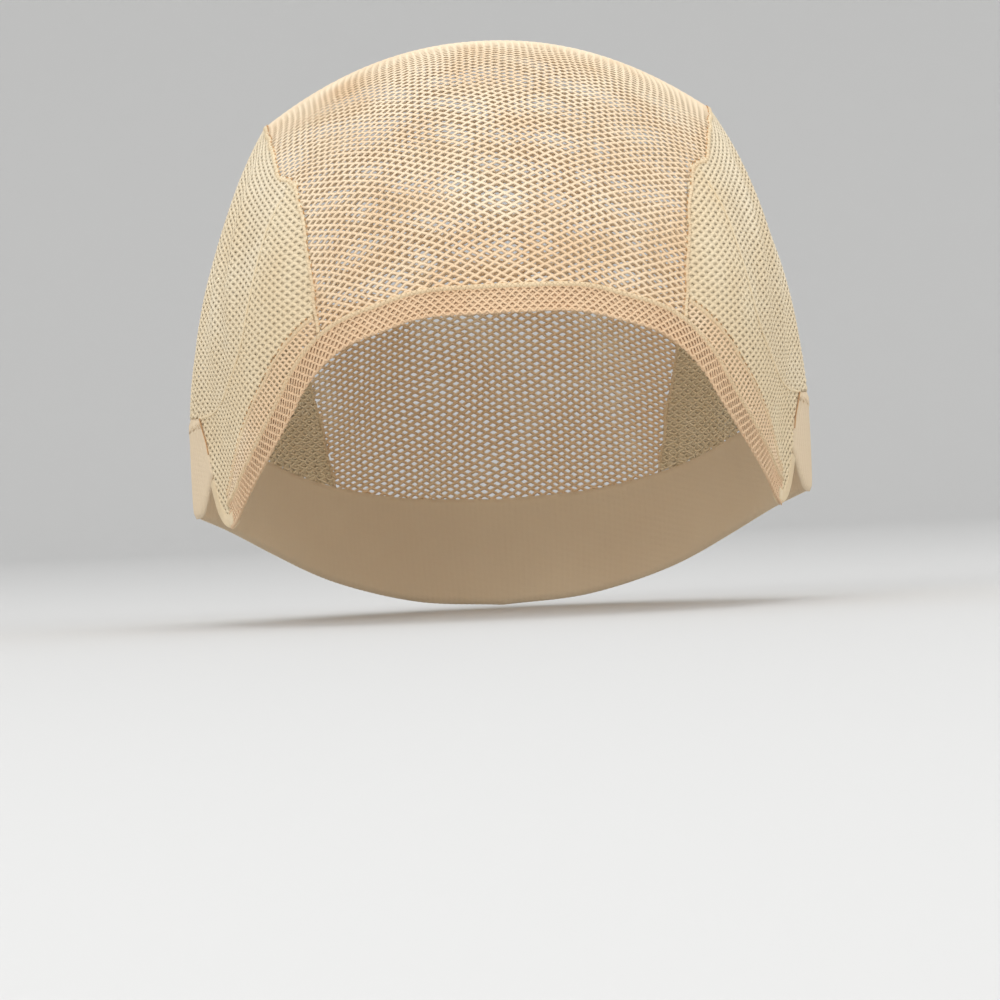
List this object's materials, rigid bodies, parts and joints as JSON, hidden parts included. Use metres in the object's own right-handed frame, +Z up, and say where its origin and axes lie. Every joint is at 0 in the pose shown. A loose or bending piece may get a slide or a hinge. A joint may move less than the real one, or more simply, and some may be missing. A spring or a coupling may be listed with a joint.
{
  "type": "wig cap",
  "caption": "Dome wig cap of nude net with raised seams, ear tabs, a folded front hem and an elastic nape band.",
  "frame": {"origin": "on the inside of the cap at the top of the crown, above the middle of the ear line, where the cap rests on a head", "axes": "+Z up, -Y out through the front edge, +X to the wearer's left"},
  "size_m": [0.175, 0.195, 0.1596],
  "materials": {
    "crown_net": "open knitted net",
    "side_net": "open knitted net",
    "lap_net": "doubled knitted net",
    "hem_net": "doubled fine net",
    "seam_stitch": "overlocked stitching",
    "elastic": "smooth knitted elastic"
  },
  "bodies": {
    "root": {"crown_panel": "crown_net", "front_hem": "hem_net", "hem_stitching": "seam_stitch", "nape_band": "elastic", "crown_seam_left": "seam_stitch", "crown_seam_right": "seam_stitch", "side_panel_left": "side_net", "side_panel_right": "side_net", "ear_tab_left": "crown_net", "ear_tab_right": "crown_net", "tab_seam_left": "seam_stitch", "tab_seam_right": "seam_stitch", "lap_panel_left": "lap_net", "lap_panel_right": "lap_net", "ear_hem_left": "elastic", "ear_hem_right": "elastic"}
  },
  "joints": []
}
